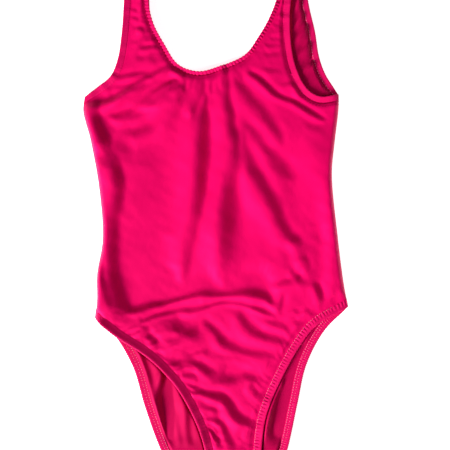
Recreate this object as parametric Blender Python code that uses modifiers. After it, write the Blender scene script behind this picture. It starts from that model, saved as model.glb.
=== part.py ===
# Tank leotard laid flat, front side up, straps towards +Y.
# The scene is in metres, +Z up. Tables and sizes below are in millimetres.
# The origin is on the surface that the garment lies on, at the middle of its outline.

import math
from collections import namedtuple

import bmesh
import bpy
import numpy as np

MM = 0.001
NAME = "dance_leotard"

# Cloth and turned edges
LENGTH = 700.0
WALL = 1.2
SEAM_GAP = 0.3
HEM_THICK = 2.2
NECK_HEM = 5.0
ARM_HEM = 8.5
LEG_HEM = 10.0

# Levels above the table, at the middle of each wall
BACK_LEVEL = WALL / 2
SEAM_LEVEL = WALL + SEAM_GAP + WALL / 2
FRONT_HEM_LEVEL = HEM_THICK + SEAM_GAP + HEM_THICK / 2
FRONT_FLOOR = HEM_THICK + SEAM_GAP + WALL / 2 + 0.2
PILLOW_RISE = 2.4
PILLOW_REACH = 45.0
SEAM_ROLL = 15.0
SEAM_END_BLEND = 22.0
BACK_FOLD_MARGIN = 14.0

# Outlines from the shoulder down, with the turned edges included
SIDE_LEFT = [(-163, 166), (-165, 148), (-156, 112), (-145, 50), (-141, -12), (-148, -56), (-148, -88),
             (-150, -109)]
SIDE_RIGHT = [(153, 169), (153, 150), (148, 106), (145, 69), (152, -6), (160, -69), (165, -96)]

Outline = namedtuple("Outline", "arm_left arm_right neck leg_left leg_right")
FRONT = Outline(
    arm_left=[(-111, 350), (-114, 288), (-117, 244), (-122, 212), (-131, 191), (-147, 178), (-163, 166)],
    arm_right=[(111, 350), (103, 318), (94, 288), (93, 238), (100, 201), (114, 175), (130, 166), (153, 169)],
    neck=[(-84, 350), (-84, 288), (-78, 258), (-64, 231), (-47, 206), (-22, 197), (4, 203), (37, 218),
          (52, 238), (65, 260), (76, 288), (80, 318), (84, 350)],
    leg_left=[(-150, -109), (-126, -130), (-85, -157), (-51, -191), (-25, -236), (-12, -275), (-6, -312),
              (-3, -350)],
    leg_right=[(165, -96), (125, -119), (105, -144), (82, -185), (66, -231), (61, -275), (62, -312),
               (63, -350)],
)
BACK = Outline(
    arm_left=[(-111, 350), (-111, 288), (-114, 238), (-122, 206), (-132, 189), (-147, 176), (-163, 166)],
    arm_right=[(111, 350), (115, 288), (124, 247), (129, 216), (137, 194), (147, 178), (153, 169)],
    neck=[(-84, 350), (-83, 288), (-81, 238), (-72, 185), (-51, 140), (-13, 116), (22, 116), (53, 140),
          (75, 185), (84, 238), (85, 288), (84, 350)],
    leg_left=[(-150, -109), (-127, -130), (-103, -171), (-88, -221), (-68, -275), (-46, -315),
              (-20, -342), (-3, -350)],
    leg_right=[(165, -96), (135, -126), (113, -168), (102, -216), (89, -275), (74, -318), (65, -338),
               (63, -350)],
)

# How finely each panel is divided: rows down a strap, beside the side seam and beside the leg,
# columns under an armhole, in a strap and under the neck, the rows that take the panel from the
# curves of its openings to straight lines, and the share of its faces kept when it is thinned
Grid = namedtuple(
    "Grid", "strap_rows seam_rows leg_rows arm_columns strap_columns neck_columns settle_rows keep")
FRONT_GRID = Grid(18, 34, 40, 11, 5, 20, 30, 0.55)
BACK_GRID = Grid(9, 15, 20, 5, 2, 21, 15, 0.60)

# Folds of the front. The crest follows the path; spread is how far each flank reaches to the
# left and to the right of it, seen along the path. A negative rise is a trough.
Fold = namedtuple("Fold", "name rise left right path")
FOLDS = [
    Fold("centre", 3.0, 34, 8,
         [(22, 196), (25, 170), (27, 126), (30, 92), (33, 56), (28, 19), (28, -24), (31, -62)]),
    Fold("left of centre", 2.6, 14, 9, [(0, 168), (-3, 116), (-4, 62), (-12, -2), (-17, -46), (-10, -66)]),
    Fold("left crease", -1.2, 9, 7, [(-9, 148), (-12, 116), (-13, 84), (-17, 51), (-24, -2), (-36, -56)]),
    Fold("outer left", 2.2, 14, 18, [(-36, 150), (-32, 116), (-32, 62), (-41, 30), (-51, -14), (-60, -80)]),
    Fold("neck to chest", 1.4, 9, 6, [(-12, 190), (-18, 175), (-25, 160), (-32, 132)]),
    Fold("right diagonal", 2.6, 26, 9,
         [(34, 143), (45, 94), (65, 68), (83, 42), (98, 14), (113, -9), (119, -35)]),
    Fold("right of centre", 1.6, 22, 16, [(37, 62), (57, 30), (89, -14), (108, -46)]),
    Fold("faint diagonal", 0.9, 12, 8, [(45, 155), (67, 135), (84, 105), (93, 79)]),
    Fold("neck to right arm", 2.4, 7, 12,
         [(19, 199), (35, 199), (50, 188), (67, 170), (89, 158), (108, 147), (132, 138)]),
    Fold("left bust upper", 2.6, 8, 15, [(-142, 152), (-127, 157), (-105, 170), (-80, 182), (-47, 192)]),
    Fold("left bust middle", 1.8, 7, 12, [(-138, 139), (-110, 142), (-83, 155), (-62, 173), (-45, 186)]),
    Fold("left bust lower", 1.8, 9, 14, [(-127, 112), (-98, 120), (-73, 136), (-50, 154), (-34, 167)]),
    Fold("left side", 3.2, 18, 8,
         [(-113, 84), (-108, 58), (-106, 34), (-112, 12), (-112, -24), (-107, -56), (-100, -89)]),
    Fold("left side roll", 1.6, 8, 8, [(-146, 128), (-143, 92), (-139, 50), (-134, 8), (-137, -60)]),
    Fold("hip", 6.0, 11, 15,
         [(-108, -118), (-92, -108), (-66, -99), (-41, -92), (-15, -86), (13, -85), (42, -87), (78, -98)]),
    Fold("above hip", -1.4, 10, 8,
         [(-83, -88), (-57, -78), (-30, -68), (-15, -67), (3, -73), (18, -73), (37, -66), (67, -85)]),
    Fold("right hip", 3.4, 8, 14,
         [(52, -76), (78, -74), (93, -66), (105, -69), (123, -69), (131, -78), (135, -94)]),
    Fold("right hip puff", 1.6, 8, 9, [(92, -84), (103, -90), (112, -94)]),
    Fold("left hip swirl", 1.8, 7, 10, [(-101, -119), (-94, -127), (-84, -131), (-72, -127), (-60, -118)]),
    Fold("below hip", 2.8, 7, 11, [(-15, -120), (0, -134), (19, -146), (39, -153), (63, -157), (80, -161)]),
    Fold("right of belly", 2.4, 6, 8, [(29, -99), (40, -113), (58, -126), (77, -135), (94, -139)]),
    Fold("right of belly upper", 1.6, 5, 6, [(45, -100), (64, -112), (90, -126)]),
    Fold("left of belly", 2.8, 6, 8,
         [(-85, -140), (-63, -151), (-45, -150), (-33, -142), (-16, -139), (0, -146), (29, -160),
          (63, -168)]),
    Fold("crotch upper", 2.6, 9, 10,
         [(-50, -176), (-28, -178), (-12, -184), (19, -192), (42, -200), (62, -209)]),
    Fold("crotch middle", 2.8, 7, 9, [(-36, -206), (-8, -211), (9, -222), (22, -240), (36, -256)]),
    Fold("crotch lower", 2.2, 6, 7, [(-18, -228), (0, -238), (12, -258), (18, -280)]),
    Fold("crotch puff", 2.4, 10, 11, [(36, -259), (45, -255), (54, -261)]),
    Fold("crotch end", 1.6, 9, 9, [(28, -288), (25, -312), (30, -336)]),
]

# Small gathers pulled up by the elastic, evenly numbered along part of an edge.
# Lean turns each from square to the edge, in degrees.
Gathers = namedtuple("Gathers", "edge first last count rise spread length lean")
GATHERS = [
    Gathers("neck", 0.40, 0.66, 10, 1.1, 3.4, 24, -8),
    Gathers("leg_left", 0.10, 0.97, 15, 1.7, 5.2, 34, 22),
    Gathers("leg_right", 0.10, 0.97, 15, 1.6, 5.0, 30, -26),
]

# Low folds of the back where the leg openings and the right armhole bare it
BACK_FOLDS = [
    Fold("back armhole", 1.5, 4, 5, [(104, 290), (102, 262), (100, 236), (101, 214)]),
    Fold("back armhole lower", 1.1, 5, 6, [(121, 236), (113, 216), (112, 200)]),
    Fold("back left", 0.9, 8, 14, [(-62, -182), (-60, -215), (-52, -248), (-36, -290)]),
    Fold("back left short", 0.8, 6, 7, [(-84, -160), (-78, -180), (-74, -205)]),
    Fold("back right", 0.9, 7, 9, [(96, -182), (90, -212), (83, -240), (76, -285)]),
]

Cloth = namedtuple("Cloth", "colour roughness")
FRONT_CLOTH = Cloth((0.72, 0.003, 0.10), 0.45)
BACK_CLOTH = Cloth((0.30, 0.001, 0.035), 0.55)
FRONT_EDGE = Cloth((0.66, 0.003, 0.09), 0.50)
BACK_EDGE = Cloth((0.48, 0.002, 0.06), 0.55)


def smooth(x):
    x = np.clip(x, 0.0, 1.0)
    return x * x * (3.0 - 2.0 * x)


def resample(points, count):
    # Even stations along a line of points.
    steps = np.linalg.norm(np.diff(points, axis=0), axis=1)
    along = np.concatenate([[0.0], np.cumsum(steps)])
    wanted = np.linspace(0.0, along[-1], count)
    return np.stack([np.interp(wanted, along, points[:, k]) for k in (0, 1)], axis=1)


def spline(path, count):
    # Even stations on a smooth curve through the path's points.
    pts = np.array(path, float)
    pts = np.vstack([2 * pts[0] - pts[1], pts, 2 * pts[-1] - pts[-2]])
    dense = []
    for a, b, c, d in zip(pts, pts[1:], pts[2:], pts[3:]):
        before, here, after = (math.sqrt(np.linalg.norm(q - p)) for p, q in ((a, b), (b, c), (c, d)))
        start = here * ((b - a) / before - (c - a) / (before + here) + (c - b) / here)
        end = here * ((c - b) / here - (d - b) / (here + after) + (d - c) / after)
        for t in np.linspace(0.0, 1.0, 16, endpoint=False):
            dense.append((2 * t**3 - 3 * t**2 + 1) * b + (t**3 - 2 * t**2 + t) * start
                         + (3 * t**2 - 2 * t**3) * c + (t**3 - t**2) * end)
    dense.append(pts[-2])
    return resample(np.array(dense), count)


def at_length(line, distance):
    # The point of a line at a distance from its start, or from its end when negative.
    fine = line if distance >= 0 else line[::-1]
    along = np.concatenate([[0.0], np.cumsum(np.linalg.norm(np.diff(fine, axis=0), axis=1))])
    return np.array([np.interp(abs(distance), along, fine[:, k]) for k in (0, 1)])


def inset(line, width, side, start, end):
    # The line moved in by a width: side 1 is to its left, -1 to its right. Its ends are
    # eased to the points where it starts and ends on a seam.
    tangent = np.gradient(line, axis=0)
    tangent /= np.linalg.norm(tangent, axis=1)[:, None]
    moved = line + side * width * np.stack([-tangent[:, 1], tangent[:, 0]], axis=1)
    for index, target in ((0, start), (-1, end)):
        share = smooth(1.0 - np.linalg.norm(line - line[index], axis=1) / SEAM_END_BLEND)
        moved += share[:, None] * (target - moved[index])
    return moved


def nearest(xy, line):
    # Distance from each place to a line of points, the side it lies on (1 is left), and how far
    # along the line the closest point is, from 0 to 1.
    start, step = line[:-1], np.diff(line, axis=0)
    length = np.linalg.norm(step, axis=1)
    offset = xy[:, None, :] - start[None]
    share = np.clip((offset * step).sum(2) / (length**2), 0.0, 1.0)
    gap = offset - share[..., None] * step
    distance = np.linalg.norm(gap, axis=2)
    pick = distance.argmin(1)
    row = np.arange(len(xy))
    cross = step[pick, 0] * offset[row, pick, 1] - step[pick, 1] * offset[row, pick, 0]
    passed = np.concatenate([[0.0], np.cumsum(length)])[pick] + share[row, pick] * length[pick]
    return distance[row, pick], np.sign(cross), passed / length.sum()


def fold_height(xy, fold, end_share=0.22):
    # A soft ridge or trough that fades out at both ends of its path.
    stations = max(4, len(fold.path) * 4)
    distance, side, along = nearest(xy, spline(fold.path, stations))
    spread = np.where(side > 0, fold.left, fold.right)
    fade = smooth(along / end_share) * smooth((1.0 - along) / end_share)
    return fold.rise * fade * np.exp(-(distance / spread)**2)


def edge_lines(outline, grid, extra):
    # The turned edges' outer lines and the lines that lie one hem width and "extra" inside them.
    left, right = spline(SIDE_LEFT, 200), spline(SIDE_RIGHT, 200)
    arm_count = grid.strap_rows + grid.arm_columns + 1
    neck_count = 2 * grid.strap_rows + grid.neck_columns + 1
    outer = Outline(
        spline(outline.arm_left, arm_count), spline(outline.arm_right, arm_count),
        spline(outline.neck, neck_count),
        spline(outline.leg_left, grid.leg_rows + 1), spline(outline.leg_right, grid.leg_rows + 1))
    arm, leg = ARM_HEM + extra, LEG_HEM + extra
    arm_in, neck_in, leg_in = np.array([arm, 0]), np.array([NECK_HEM + extra, 0]), np.array([leg, 0])
    inner = Outline(
        inset(outer.arm_left, arm, 1, outer.arm_left[0] + arm_in, at_length(left, arm)),
        inset(outer.arm_right, arm, -1, outer.arm_right[0] - arm_in, at_length(right, arm)),
        inset(outer.neck, NECK_HEM + extra, -1, outer.neck[0] - neck_in, outer.neck[-1] + neck_in),
        inset(outer.leg_left, leg, 1, at_length(left, -leg), outer.leg_left[-1] + leg_in),
        inset(outer.leg_right, leg, -1, at_length(right, -leg), outer.leg_right[-1] - leg_in))
    return outer, inner


def seam_lines(rows, extra):
    # The stretch of each side seam between the armhole edge and the leg edge.
    lines = []
    for side in (SIDE_LEFT, SIDE_RIGHT):
        fine = spline(side, 400)
        along = np.concatenate([[0.0], np.cumsum(np.linalg.norm(np.diff(fine, axis=0), axis=1))])
        kept = fine[(along > ARM_HEM + extra) & (along < along[-1] - LEG_HEM - extra)]
        ends = at_length(fine, ARM_HEM + extra), at_length(fine, -LEG_HEM - extra)
        lines.append(resample(np.vstack([ends[0], kept, ends[1]]), rows + 1))
    return lines


def panel_plan(outline, grid):
    # Rows of points from the shoulders to the crotch. The first body row follows the armholes,
    # the strap bases and the neck, and the rows below settle to straight lines.
    _, inner = edge_lines(outline, grid, SEAM_GAP)
    seam_left, seam_right = seam_lines(grid.seam_rows, SEAM_GAP)
    left = np.vstack([seam_left, inner.leg_left[1:]])
    right = np.vstack([seam_right, inner.leg_right[1:]])
    base, arm, strap = grid.strap_rows, grid.arm_columns, grid.strap_columns
    columns = 2 * (arm + strap) + grid.neck_columns
    plan = np.full((base + len(left), columns + 1, 2), np.nan)
    across = np.linspace(0.0, 1.0, strap + 1)[:, None]
    for row in range(base + 1):
        neck_left, neck_right = inner.neck[row], inner.neck[-1 - row]
        arm_left, arm_right = inner.arm_left[row], inner.arm_right[row]
        plan[row, arm:arm + strap + 1] = arm_left + across * (neck_left - arm_left)
        plan[row, columns - arm - strap:columns - arm + 1] = neck_right + across * (arm_right - neck_right)
    plan[base, :arm + 1] = inner.arm_left[base:][::-1]
    plan[base, columns - arm:] = inner.arm_right[base:]
    plan[base, arm + strap:columns - arm - strap + 1] = inner.neck[base:len(inner.neck) - base]
    even = np.linspace(0.0, 1.0, columns + 1)[:, None]
    bend = plan[base] - (left[0] + even * (right[0] - left[0]))
    for row in range(1, len(left)):
        plan[base + row] = left[row] + even * (right[row] - left[row])
        plan[base + row] += bend * (1.0 - smooth(row / grid.settle_rows))
    return plan


def gathers():
    # Short ridges across the gathered edges, as uneven as a hand-stretched elastic leaves them.
    outer, _ = edge_lines(FRONT, FRONT_GRID, 0.0)
    sides = {"neck": -1, "leg_left": 1, "leg_right": -1}
    made = []
    for g in GATHERS:
        line = getattr(outer, g.edge)
        tangent = np.gradient(line, axis=0)
        for k in range(g.count):
            share = g.first + (g.last - g.first) * (k + 0.5 + 0.25 * math.sin(2.4 * k)) / g.count
            spot = int(round(share * (len(line) - 1)))
            heading = math.atan2(tangent[spot, 1], tangent[spot, 0]) + sides[g.edge] * math.pi / 2
            heading += math.radians(g.lean * (1.0 + 0.4 * math.sin(1.7 * k)))
            way = np.array([math.cos(heading), math.sin(heading)])
            reach = g.length * (0.8 + 0.35 * math.sin(3.1 * k + 1.0))
            path = [line[spot] - 4.0 * way, line[spot] + 0.5 * reach * way, line[spot] + reach * way]
            made.append(Fold(g.edge, g.rise * (0.85 + 0.25 * math.sin(2.1 * k)), g.spread, g.spread, path))
    return made


def front_height(xy, folds):
    # Middle of the front's wall above the table: low at its edges, filled out inside, and
    # rolled down to the back along the side seams.
    _, inner = edge_lines(FRONT, FRONT_GRID, 0.0)
    seams = seam_lines(FRONT_GRID.seam_rows, SEAM_GAP)
    to_hem = np.min([nearest(xy, line)[0] for line in inner], axis=0)
    seam_near = [nearest(xy, line) for line in seams]
    to_seam = np.min([near[0] for near in seam_near], axis=0)
    z = FRONT_HEM_LEVEL + PILLOW_RISE * smooth(np.minimum(to_hem, to_seam) / PILLOW_REACH)
    for fold in folds:
        z = z + fold_height(xy, fold)
    z = np.maximum(z, FRONT_FLOOR)
    roll = smooth(to_seam / SEAM_ROLL)
    open_end = smooth(to_hem / SEAM_END_BLEND)
    low = FRONT_HEM_LEVEL + (SEAM_LEVEL - FRONT_HEM_LEVEL) * open_end
    return low + (z - low) * roll


def back_height(xy):
    # The back lies on the table and lifts a little only where an opening of the front bares it.
    _, inner = edge_lines(BACK, BACK_GRID, 0.0)
    to_hem = np.min([nearest(xy, line)[0] for line in inner], axis=0)
    lift = sum(fold_height(xy, fold) for fold in BACK_FOLDS)
    return BACK_LEVEL + np.where(lift > 0.02, lift, 0.0) * smooth(to_hem / BACK_FOLD_MARGIN)


def new_object(name, bm, cloth, collection):
    mesh = bpy.data.meshes.new(name)
    bm.to_mesh(mesh)
    bm.free()
    material = bpy.data.materials.new(name + "_cloth")
    material.use_nodes = True
    shader = material.node_tree.nodes["Principled BSDF"]
    shader.inputs["Base Color"].default_value = (*cloth.colour, 1.0)
    shader.inputs["Roughness"].default_value = cloth.roughness
    shader.inputs["Metallic"].default_value = 0.0
    mesh.materials.append(material)
    mesh.shade_smooth()
    piece = bpy.data.objects.new(name, mesh)
    collection.objects.link(piece)
    return piece


def grid_mesh(columns, rows):
    # A flat grid whose vertices know their column and row.
    bm = bmesh.new()
    bmesh.ops.create_grid(bm, x_segments=columns, y_segments=rows, size=0.5)
    places = {v: (round((v.co.x + 0.5) * columns), round((0.5 - v.co.y) * rows)) for v in bm.verts}
    return bm, places


def make_panel(name, plan, heights, keep, cloth, collection):
    # One layer of cloth: a grid laid on the plan, thinned where it is nearly flat, then
    # given its wall.
    rows, columns = plan.shape[0] - 1, plan.shape[1] - 1
    bm, places = grid_mesh(columns, rows)
    for v, (column, row) in places.items():
        v.co = (*(plan[row, column] * MM), heights[row, column] * MM)
    cut = [v for v, (column, row) in places.items() if np.isnan(plan[row, column, 0])]
    bmesh.ops.delete(bm, geom=cut, context="VERTS")
    bm.verts.index_update()
    cut_y = (LENGTH / 2 - 0.01) * MM
    inside = [v.index for v in bm.verts if not v.is_boundary or abs(v.co.y) > cut_y]
    piece = new_object(name, bm, cloth, collection)
    group = piece.vertex_groups.new(name="inside")
    group.add(inside, 1.0, "REPLACE")
    thin = piece.modifiers.new("thin out", "DECIMATE")
    thin.ratio = keep
    thin.vertex_group = group.name
    wall = piece.modifiers.new("wall", "SOLIDIFY")
    wall.thickness = WALL * MM
    wall.offset = 0.0
    return piece


def make_hem(name, outer, inner, heights, cloth, collection):
    # A turned edge with its elastic: a flat band with rounded sides, from a grid whose long
    # sides are joined and whose ends are closed.
    section = [(0.06, -0.5), (0.94, -0.5), (1.0, 0.0), (0.86, 0.5), (0.14, 0.5), (0.0, 0.0)]
    count = len(section)
    bm, places = grid_mesh(len(outer) - 1, count)
    for v, (station, corner) in places.items():
        across, up = section[corner % count]
        xy = outer[station] + across * (inner[station] - outer[station])
        v.co = (*(xy * MM), (heights[station] + up * HEM_THICK) * MM)
    bmesh.ops.remove_doubles(bm, verts=bm.verts, dist=1e-7)
    bmesh.ops.holes_fill(bm, edges=[e for e in bm.edges if e.is_boundary])
    bmesh.ops.recalc_face_normals(bm, faces=bm.faces)
    return new_object(name, bm, cloth, collection)


def make_layer(layer, outline, grid, height, hem_floor, cloth, edge_cloth, collection):
    # A panel and the turned edges round its openings, all at one height function's level.
    plan = panel_plan(outline, grid)
    flat = plan.reshape(-1, 2)
    known = ~np.isnan(flat[:, 0])
    heights = np.zeros(len(flat))
    heights[known] = height(flat[known])
    make_panel(layer + "_panel", plan, heights.reshape(plan.shape[:2]), grid.keep, cloth, collection)
    outer, inner = edge_lines(outline, grid, 0.0)
    for name, edge in hem_names(layer):
        line = getattr(inner, edge)
        z = np.maximum(height(line), hem_floor)
        make_hem(name, getattr(outer, edge), line, z, edge_cloth, collection)


def hem_names(layer):
    pairs = [("neck_hem_", "neck")]
    for side in ("left", "right"):
        pairs.append(("armhole_hem_" + side + "_", "arm_" + side))
        pairs.append(("leg_hem_" + side + "_", "leg_" + side))
    return [(start + layer, edge) for start, edge in pairs]


def main():
    for old in list(bpy.data.objects):
        bpy.data.objects.remove(old, do_unlink=True)
    collection = bpy.data.collections.new(NAME)
    bpy.context.scene.collection.children.link(collection)
    folds = FOLDS + gathers()
    make_layer("back", BACK, BACK_GRID, back_height, HEM_THICK / 2, BACK_CLOTH, BACK_EDGE, collection)
    make_layer("front", FRONT, FRONT_GRID, lambda xy: front_height(xy, folds), FRONT_HEM_LEVEL,
               FRONT_CLOTH, FRONT_EDGE, collection)


main()
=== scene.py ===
# Tank leotard laid flat: cloth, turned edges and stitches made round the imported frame.
# Tables and sizes are in millimetres, and +Y points to the shoulders.

import math
from collections import namedtuple

import bmesh
import bpy
import numpy as np
from mathutils import Matrix, Vector


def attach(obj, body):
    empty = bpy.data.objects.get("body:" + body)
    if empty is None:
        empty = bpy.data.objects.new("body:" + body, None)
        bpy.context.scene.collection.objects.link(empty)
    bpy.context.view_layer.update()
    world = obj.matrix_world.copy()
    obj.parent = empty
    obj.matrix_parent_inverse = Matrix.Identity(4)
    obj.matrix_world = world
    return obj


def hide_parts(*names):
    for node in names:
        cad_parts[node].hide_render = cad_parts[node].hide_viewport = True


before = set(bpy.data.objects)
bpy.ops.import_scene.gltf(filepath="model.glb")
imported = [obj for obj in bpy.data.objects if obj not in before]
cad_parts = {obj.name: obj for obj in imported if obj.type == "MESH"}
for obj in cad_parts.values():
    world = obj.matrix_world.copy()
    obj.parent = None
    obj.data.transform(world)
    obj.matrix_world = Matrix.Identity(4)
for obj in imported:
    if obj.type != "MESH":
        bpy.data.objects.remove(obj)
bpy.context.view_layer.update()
mm = 0.001

# Thickness of walls and edges, the gap at a seam, and levels above the table at the middle of a
# wall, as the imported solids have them. frontTop is the most that the front's folds rise here.
levels = {
    "wall": 1.2,
    "seamGap": 0.3,
    "hemThick": 2.2,
    "back": 0.6,
    "seam": 2.1,
    "frontHem": 3.6,
    "frontFloor": 3.3,
    "frontTop": 18.5,
}
hemWidths = {"neck": 5.0, "arm": 8.5, "leg": 10.0}
clothThickness = 0.9
tuck = 0.8  # how far a panel reaches under the turned edge
seamEndBlend = 22.0  # the length over which a turned edge meets a seam
openEnds = {"y": 350.0, "ease": 8.0}  # where straps and crotch end, and the length over which they lie down
cornerEase = 12.0  # the length over which the ends of both side seams lie down

# How many stations the lines get, and steps a curve takes from one point of its path to the next
stations = {"side": 200, "seam": 400, "frontEdge": 90, "frontSeam": 60, "backEdge": 70, "frontOutline": 60}
curveSteps = 16
batch = 6000  # places worked out together, which keeps the memory small

sideLeft = [(-163, 166), (-165, 148), (-156, 112), (-145, 50), (-141, -12), (-148, -56), (-148, -88),
            (-150, -109)]
sideRight = [(153, 169), (153, 150), (148, 106), (145, 69), (152, -6), (160, -69), (165, -96)]

Outline = namedtuple("Outline", "armLeft armRight neck legLeft legRight")
front = Outline(
    armLeft=[(-111, 350), (-114, 288), (-117, 244), (-122, 212), (-131, 191), (-147, 178), (-163, 166)],
    armRight=[(111, 350), (103, 318), (94, 288), (93, 238), (100, 201), (114, 175), (130, 166), (153, 169)],
    neck=[(-84, 350), (-84, 288), (-78, 258), (-64, 231), (-47, 206), (-22, 197), (4, 203), (37, 218),
          (52, 238), (65, 260), (76, 288), (80, 318), (84, 350)],
    legLeft=[(-150, -109), (-126, -130), (-85, -157), (-51, -191), (-25, -236), (-12, -275), (-6, -312),
             (-3, -350)],
    legRight=[(165, -96), (125, -119), (105, -144), (82, -185), (63, -231), (57, -275), (57, -312),
              (60, -350)],
)
back = Outline(
    armLeft=[(-111, 350), (-111, 288), (-114, 238), (-122, 206), (-132, 189), (-147, 176), (-163, 166)],
    armRight=[(111, 350), (115, 288), (124, 247), (129, 216), (137, 194), (147, 178), (153, 169)],
    neck=[(-84, 350), (-83, 288), (-81, 238), (-72, 185), (-51, 140), (-13, 116), (22, 116), (53, 140),
          (75, 185), (84, 238), (85, 288), (84, 350)],
    legLeft=[(-150, -109), (-127, -130), (-103, -171), (-88, -221), (-68, -275), (-46, -315),
             (-20, -342), (-3, -350)],
    legRight=[(165, -96), (135, -126), (113, -168), (102, -216), (89, -275), (74, -318), (65, -338),
              (63, -350)],
)

# Lines and distances


def smooth(x):
    x = np.clip(x, 0.0, 1.0)
    return x * x * (3.0 - 2.0 * x)


def runningLength(line):
    # how far along the line each of its points is
    return np.concatenate([[0.0], np.cumsum(np.linalg.norm(np.diff(line, axis=0), axis=1))])


def resample(points, count):
    along = runningLength(points[:, :2])
    wanted = np.linspace(0.0, along[-1], count)
    return np.stack([np.interp(wanted, along, column) for column in points.T], axis=1)


def spline(path, count):
    # even stations on a smooth curve through the path's points
    pts = np.array(path, float)
    pts = np.vstack([2 * pts[0] - pts[1], pts, 2 * pts[-1] - pts[-2]])
    dense = []
    for a, b, c, d in zip(pts, pts[1:], pts[2:], pts[3:]):
        before, here, after = (math.sqrt(np.linalg.norm((q - p)[:2])) for p, q in ((a, b), (b, c), (c, d)))
        start = here * ((b - a) / before - (c - a) / (before + here) + (c - b) / here)
        end = here * ((c - b) / here - (d - b) / (here + after) + (d - c) / after)
        for t in np.linspace(0.0, 1.0, curveSteps, endpoint=False):
            dense.append((2 * t**3 - 3 * t**2 + 1) * b + (t**3 - 2 * t**2 + t) * start
                         + (3 * t**2 - 2 * t**3) * c + (t**3 - t**2) * end)
    dense.append(pts[-2])
    return resample(np.array(dense), count)


def atLength(line, distance):
    # the place this far along, counted from the end where the distance is negative
    fine = line if distance >= 0 else line[::-1]
    return np.array([np.interp(abs(distance), runningLength(fine), fine[:, k]) for k in (0, 1)])


def inset(line, width, side, start, end):
    # the line moved in by a width, its ends eased to the points where it meets a seam
    tangent = np.gradient(line, axis=0)
    tangent /= np.linalg.norm(tangent, axis=1)[:, None]
    moved = line + side * width * np.stack([-tangent[:, 1], tangent[:, 0]], axis=1)
    for index, target in ((0, start), (-1, end)):
        share = smooth(1.0 - np.linalg.norm(line - line[index], axis=1) / seamEndBlend)
        moved += share[:, None] * (target - moved[index])
    return moved


def nearest(xy, line):
    # distance to a line, the side it lies on (1 is left), and how far along, in mm
    start, step = line[:-1], np.diff(line, axis=0)
    length = np.linalg.norm(step, axis=1)
    passed = runningLength(line)
    found = []
    for part in np.array_split(xy, max(1, len(xy) // batch)):
        offset = part[:, None, :] - start[None]
        share = np.clip((offset * step).sum(2) / (length**2), 0.0, 1.0)
        gap = offset - share[..., None] * step
        distance = np.linalg.norm(gap, axis=2)
        pick = distance.argmin(1)
        row = np.arange(len(part))
        cross = step[pick, 0] * offset[row, pick, 1] - step[pick, 1] * offset[row, pick, 0]
        along = passed[pick] + share[row, pick] * length[pick]
        found.append(np.stack([distance[row, pick], np.sign(cross), along]))
    return np.concatenate(found, axis=1)


def edgeLines(outline, grid, extra):
    # outer lines of the turned edges, and lines one hem width and "extra" inside them
    left, right = spline(sideLeft, stations["side"]), spline(sideRight, stations["side"])
    armCount = grid["strapRows"] + grid["armColumns"] + 1
    neckCount = 2 * grid["strapRows"] + grid["neckColumns"] + 1
    legCount = grid["legRows"] + 1
    outer = Outline(
        spline(outline.armLeft, armCount), spline(outline.armRight, armCount),
        spline(outline.neck, neckCount),
        spline(outline.legLeft, legCount), spline(outline.legRight, legCount))
    arm, leg, neck = hemWidths["arm"] + extra, hemWidths["leg"] + extra, hemWidths["neck"] + extra
    armIn, neckIn, legIn = np.array([arm, 0]), np.array([neck, 0]), np.array([leg, 0])
    inner = Outline(
        inset(outer.armLeft, arm, 1, outer.armLeft[0] + armIn, atLength(left, arm)),
        inset(outer.armRight, arm, -1, outer.armRight[0] - armIn, atLength(right, arm)),
        inset(outer.neck, neck, -1, outer.neck[0] - neckIn, outer.neck[-1] + neckIn),
        inset(outer.legLeft, leg, 1, atLength(left, -leg), outer.legLeft[-1] + legIn),
        inset(outer.legRight, leg, -1, atLength(right, -leg), outer.legRight[-1] - legIn))
    return outer, inner


def seamLines(rows, extra):
    # both side seams between the turned edges
    lines = []
    for side in (sideLeft, sideRight):
        fine = spline(side, stations["seam"])
        start, end = hemWidths["arm"] + extra, hemWidths["leg"] + extra
        along = runningLength(fine)
        kept = fine[(along > start) & (along < along[-1] - end)]
        lines.append(resample(np.vstack([atLength(fine, start), kept, atLength(fine, -end)]), rows + 1))
    return lines


def panelPlan(outline, grid, extra):
    # rows of places from the shoulders to the crotch, which follow the openings at first
    _, inner = edgeLines(outline, grid, extra)
    seamLeft, seamRight = seamLines(grid["seamRows"], extra)
    left = np.vstack([seamLeft, inner.legLeft[1:]])
    right = np.vstack([seamRight, inner.legRight[1:]])
    base, arm, strap = grid["strapRows"], grid["armColumns"], grid["strapColumns"]
    columns = 2 * (arm + strap) + grid["neckColumns"]
    plan = np.full((base + len(left), columns + 1, 2), np.nan)
    across = np.linspace(0.0, 1.0, strap + 1)[:, None]
    for row in range(base + 1):
        neckLeft, neckRight = inner.neck[row], inner.neck[-1 - row]
        plan[row, arm:arm + strap + 1] = inner.armLeft[row] + across * (neckLeft - inner.armLeft[row])
        plan[row, columns - arm - strap:columns - arm + 1] = (
            neckRight + across * (inner.armRight[row] - neckRight))
    plan[base, :arm + 1] = inner.armLeft[base:][::-1]
    plan[base, columns - arm:] = inner.armRight[base:]
    plan[base, arm + strap:columns - arm - strap + 1] = inner.neck[base:len(inner.neck) - base]
    even = np.linspace(0.0, 1.0, columns + 1)[:, None]
    bend = plan[base] - (left[0] + even * (right[0] - left[0]))
    for row in range(1, len(left)):
        plan[base + row] = left[row] + even * (right[row] - left[row])
        plan[base + row] += bend * (1.0 - smooth(row / grid["settleRows"]))
    return plan


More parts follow.
